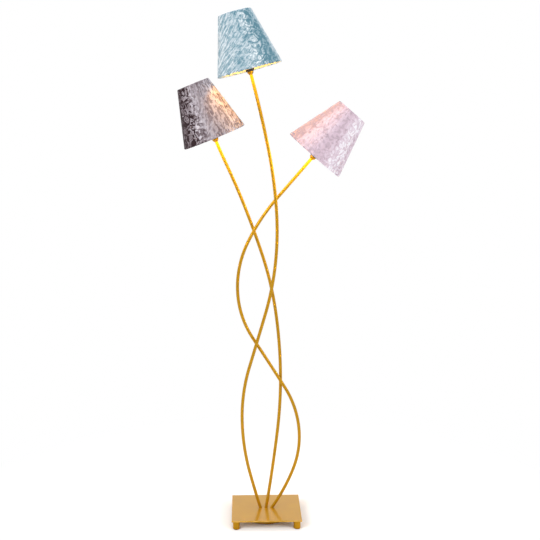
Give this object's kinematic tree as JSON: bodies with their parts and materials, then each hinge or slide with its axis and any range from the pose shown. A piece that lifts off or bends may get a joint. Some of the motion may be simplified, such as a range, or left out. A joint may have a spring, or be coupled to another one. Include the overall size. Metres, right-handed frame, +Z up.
{
  "type": "tree floor lamp",
  "caption": "Floor lamp with bent tube arms that rise from a square weighted plate, cross each other and each carry a conical velvet shade.",
  "frame": {"origin": "on the floor under the middle of the square base plate", "axes": "+Z up, +X to the right seen from the front, -Y towards the front, where the first arm's shade is nearest"},
  "size_m": [0.5676, 0.2555, 1.5963],
  "materials": {
    "gold_lacquer": "glossy gold lacquer on steel",
    "lacquered_iron": "gold lacquer on cast iron",
    "soft_pad": "matt",
    "zinc_steel": "zinc plated",
    "black_rubber": "matt",
    "white_plastic": "moulded",
    "contact_brass": "bare",
    "lead_sheath": "smooth sheath",
    "black_phenolic": "satin moulded",
    "velvet_silver_blue": "crushed velvet, silver with blue shadows",
    "velvet_mauve": "crushed velvet, grey mauve",
    "velvet_lilac": "crushed velvet, pale lilac",
    "white_liner": "stiff translucent sheet",
    "white_wire": "powder coated wire",
    "opal_glass": "opal",
    "bulb_cap_metal": "rolled"
  },
  "bodies": {
    "stand": {"base_plate": "gold_lacquer", "foot_front_left": "gold_lacquer", "foot_front_right": "gold_lacquer", "foot_back_left": "gold_lacquer", "foot_back_right": "gold_lacquer", "foot_pads": "soft_pad", "foot_studs": "zinc_steel", "counterweight": "lacquered_iron", "weight_studs": "zinc_steel", "weight_nuts": "zinc_steel", "wiring_cover": "gold_lacquer", "cover_screws": "zinc_steel", "cord_bush": "black_rubber", "terminal_block": "white_plastic", "terminal_screws": "contact_brass", "arm_nipples": "zinc_steel", "arm_washers": "zinc_steel", "arm_nuts": "zinc_steel", "screw_shells": "contact_brass", "centre_contacts": "contact_brass", "top_arm_tube": "gold_lacquer", "top_arm_lead": "lead_sheath", "top_cup": "gold_lacquer", "top_holder_base": "black_phenolic", "top_holder_body": "black_phenolic", "left_arm_tube": "gold_lacquer", "left_arm_lead": "lead_sheath", "left_cup": "gold_lacquer", "left_holder_base": "black_phenolic", "left_holder_body": "black_phenolic", "right_arm_tube": "gold_lacquer", "right_arm_lead": "lead_sheath", "right_cup": "gold_lacquer", "right_holder_base": "black_phenolic", "right_holder_body": "black_phenolic"},
    "top_shade": {"top_shade_velvet": "velvet_silver_blue", "top_shade_liner": "white_liner", "top_shade_wires": "white_wire", "top_shade_carrier": "white_wire"},
    "top_ring": {"top_shade_ring": "black_phenolic"},
    "top_bulb": {"top_bulb_glass": "opal_glass", "top_bulb_cap": "bulb_cap_metal"},
    "left_shade": {"left_shade_velvet": "velvet_mauve", "left_shade_liner": "white_liner", "left_shade_wires": "white_wire", "left_shade_carrier": "white_wire"},
    "left_ring": {"left_shade_ring": "black_phenolic"},
    "left_bulb": {"left_bulb_glass": "opal_glass", "left_bulb_cap": "bulb_cap_metal"},
    "right_shade": {"right_shade_velvet": "velvet_lilac", "right_shade_liner": "white_liner", "right_shade_wires": "white_wire", "right_shade_carrier": "white_wire"},
    "right_ring": {"right_shade_ring": "black_phenolic"},
    "right_bulb": {"right_bulb_glass": "opal_glass", "right_bulb_cap": "bulb_cap_metal"}
  },
  "joints": [
    {"name": "top_shade_swivel", "type": "hinge", "parent": "stand", "child": "top_shade", "pos_m": [-0.045, -0.034, 1.403], "axis": [-0.2588, -0.0062, 0.9659], "continuous": true},
    {"name": "top_ring_thread", "type": "hinge", "parent": "stand", "child": "top_ring", "pos_m": [-0.045, -0.034, 1.403], "axis": [-0.2588, -0.0062, 0.9659], "range_deg": [0, 2520]},
    {"name": "top_bulb_thread", "type": "hinge", "parent": "stand", "child": "top_bulb", "pos_m": [-0.045, -0.034, 1.403], "axis": [-0.2588, -0.0062, 0.9659], "range_deg": [0, 1440]},
    {"name": "left_shade_swivel", "type": "hinge", "parent": "stand", "child": "left_shade", "pos_m": [-0.152, 0.023, 1.203], "axis": [-0.3741, -0.0279, 0.927], "continuous": true},
    {"name": "left_ring_thread", "type": "hinge", "parent": "stand", "child": "left_ring", "pos_m": [-0.152, 0.023, 1.203], "axis": [-0.3741, -0.0279, 0.927], "range_deg": [0, 2520]},
    {"name": "left_bulb_thread", "type": "hinge", "parent": "stand", "child": "left_bulb", "pos_m": [-0.152, 0.023, 1.203], "axis": [-0.3741, -0.0279, 0.927], "range_deg": [0, 1440]},
    {"name": "right_shade_swivel", "type": "hinge", "parent": "stand", "child": "right_shade", "pos_m": [0.139, -0.01, 1.151], "axis": [0.6534, -0.0519, 0.7552], "continuous": true},
    {"name": "right_ring_thread", "type": "hinge", "parent": "stand", "child": "right_ring", "pos_m": [0.139, -0.01, 1.151], "axis": [0.6534, -0.0519, 0.7552], "range_deg": [0, 2520]},
    {"name": "right_bulb_thread", "type": "hinge", "parent": "stand", "child": "right_bulb", "pos_m": [0.139, -0.01, 1.151], "axis": [0.6534, -0.0519, 0.7552], "range_deg": [0, 1440]}
  ]
}
